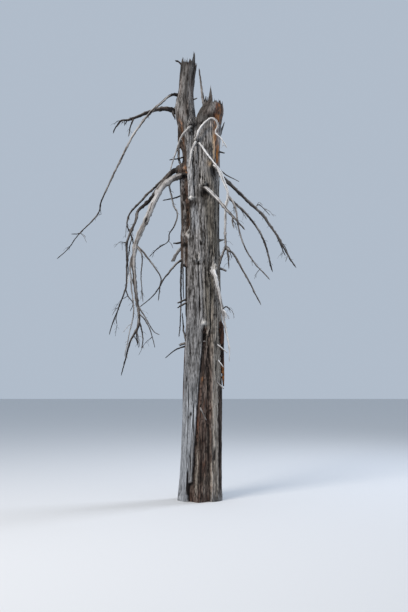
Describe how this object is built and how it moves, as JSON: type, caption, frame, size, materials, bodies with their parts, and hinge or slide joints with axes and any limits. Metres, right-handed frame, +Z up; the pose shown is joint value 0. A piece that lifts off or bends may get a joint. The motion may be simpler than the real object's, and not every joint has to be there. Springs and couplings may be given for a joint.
{
  "type": "dead tree",
  "caption": "Standing dead conifer: stout weathered trunk forked into broken splintered leaders, with drooping bare boughs and twigs, a peeling plate and a rotten recess.",
  "frame": {"origin": "middle of the flat cut under the trunk, at ground level", "axes": "+Z up the trunk, +X to the right and +Y away from the viewer of the tree's front"},
  "size_m": [3.1458, 2.0924, 5.8811],
  "materials": {
    "trunk_wood": "matte",
    "peeling_wood": "matte",
    "splinter_wood": "matte",
    "bough_wood": "matte",
    "twig_wood": "matte"
  },
  "bodies": {
    "root": {"trunk": "trunk_wood", "left_leader": "trunk_wood", "right_leader": "trunk_wood", "peeling_plate": "peeling_wood", "fork_splinter": "splinter_wood", "hanging_splinter": "splinter_wood", "left_splinter": "splinter_wood", "right_splinter": "splinter_wood", "short_splinter": "splinter_wood", "standing_splinter": "splinter_wood", "arch_bough": "bough_wood", "back_high_bough": "bough_wood", "back_low_bough": "bough_wood", "back_main_bough": "bough_wood", "back_right_bough": "bough_wood", "crossing_limb_bough": "bough_wood", "face_limb_bough": "bough_wood", "fork_limb_bough": "bough_wood", "high_long_bough": "bough_wood", "high_short_bough": "bough_wood", "left_back_bough": "bough_wood", "left_hanging_bough": "bough_wood", "left_low_bough": "bough_wood", "left_main_bough": "bough_wood", "left_outer_bough": "bough_wood", "right_front_bough": "bough_wood", "right_low_bough": "bough_wood", "right_outer_bough": "bough_wood", "right_white_bough": "bough_wood", "arch_twigs": "twig_wood", "back_high_twigs": "twig_wood", "back_low_twigs": "twig_wood", "back_main_twigs": "twig_wood", "back_right_twigs": "twig_wood", "high_long_twigs": "twig_wood", "high_short_twigs": "twig_wood", "left_back_twigs": "twig_wood", "left_hanging_twigs": "twig_wood", "left_main_twigs": "twig_wood", "left_outer_twigs": "twig_wood", "right_front_twigs": "twig_wood", "right_low_twigs": "twig_wood", "right_outer_twigs": "twig_wood", "right_white_twigs": "twig_wood"}
  },
  "joints": []
}
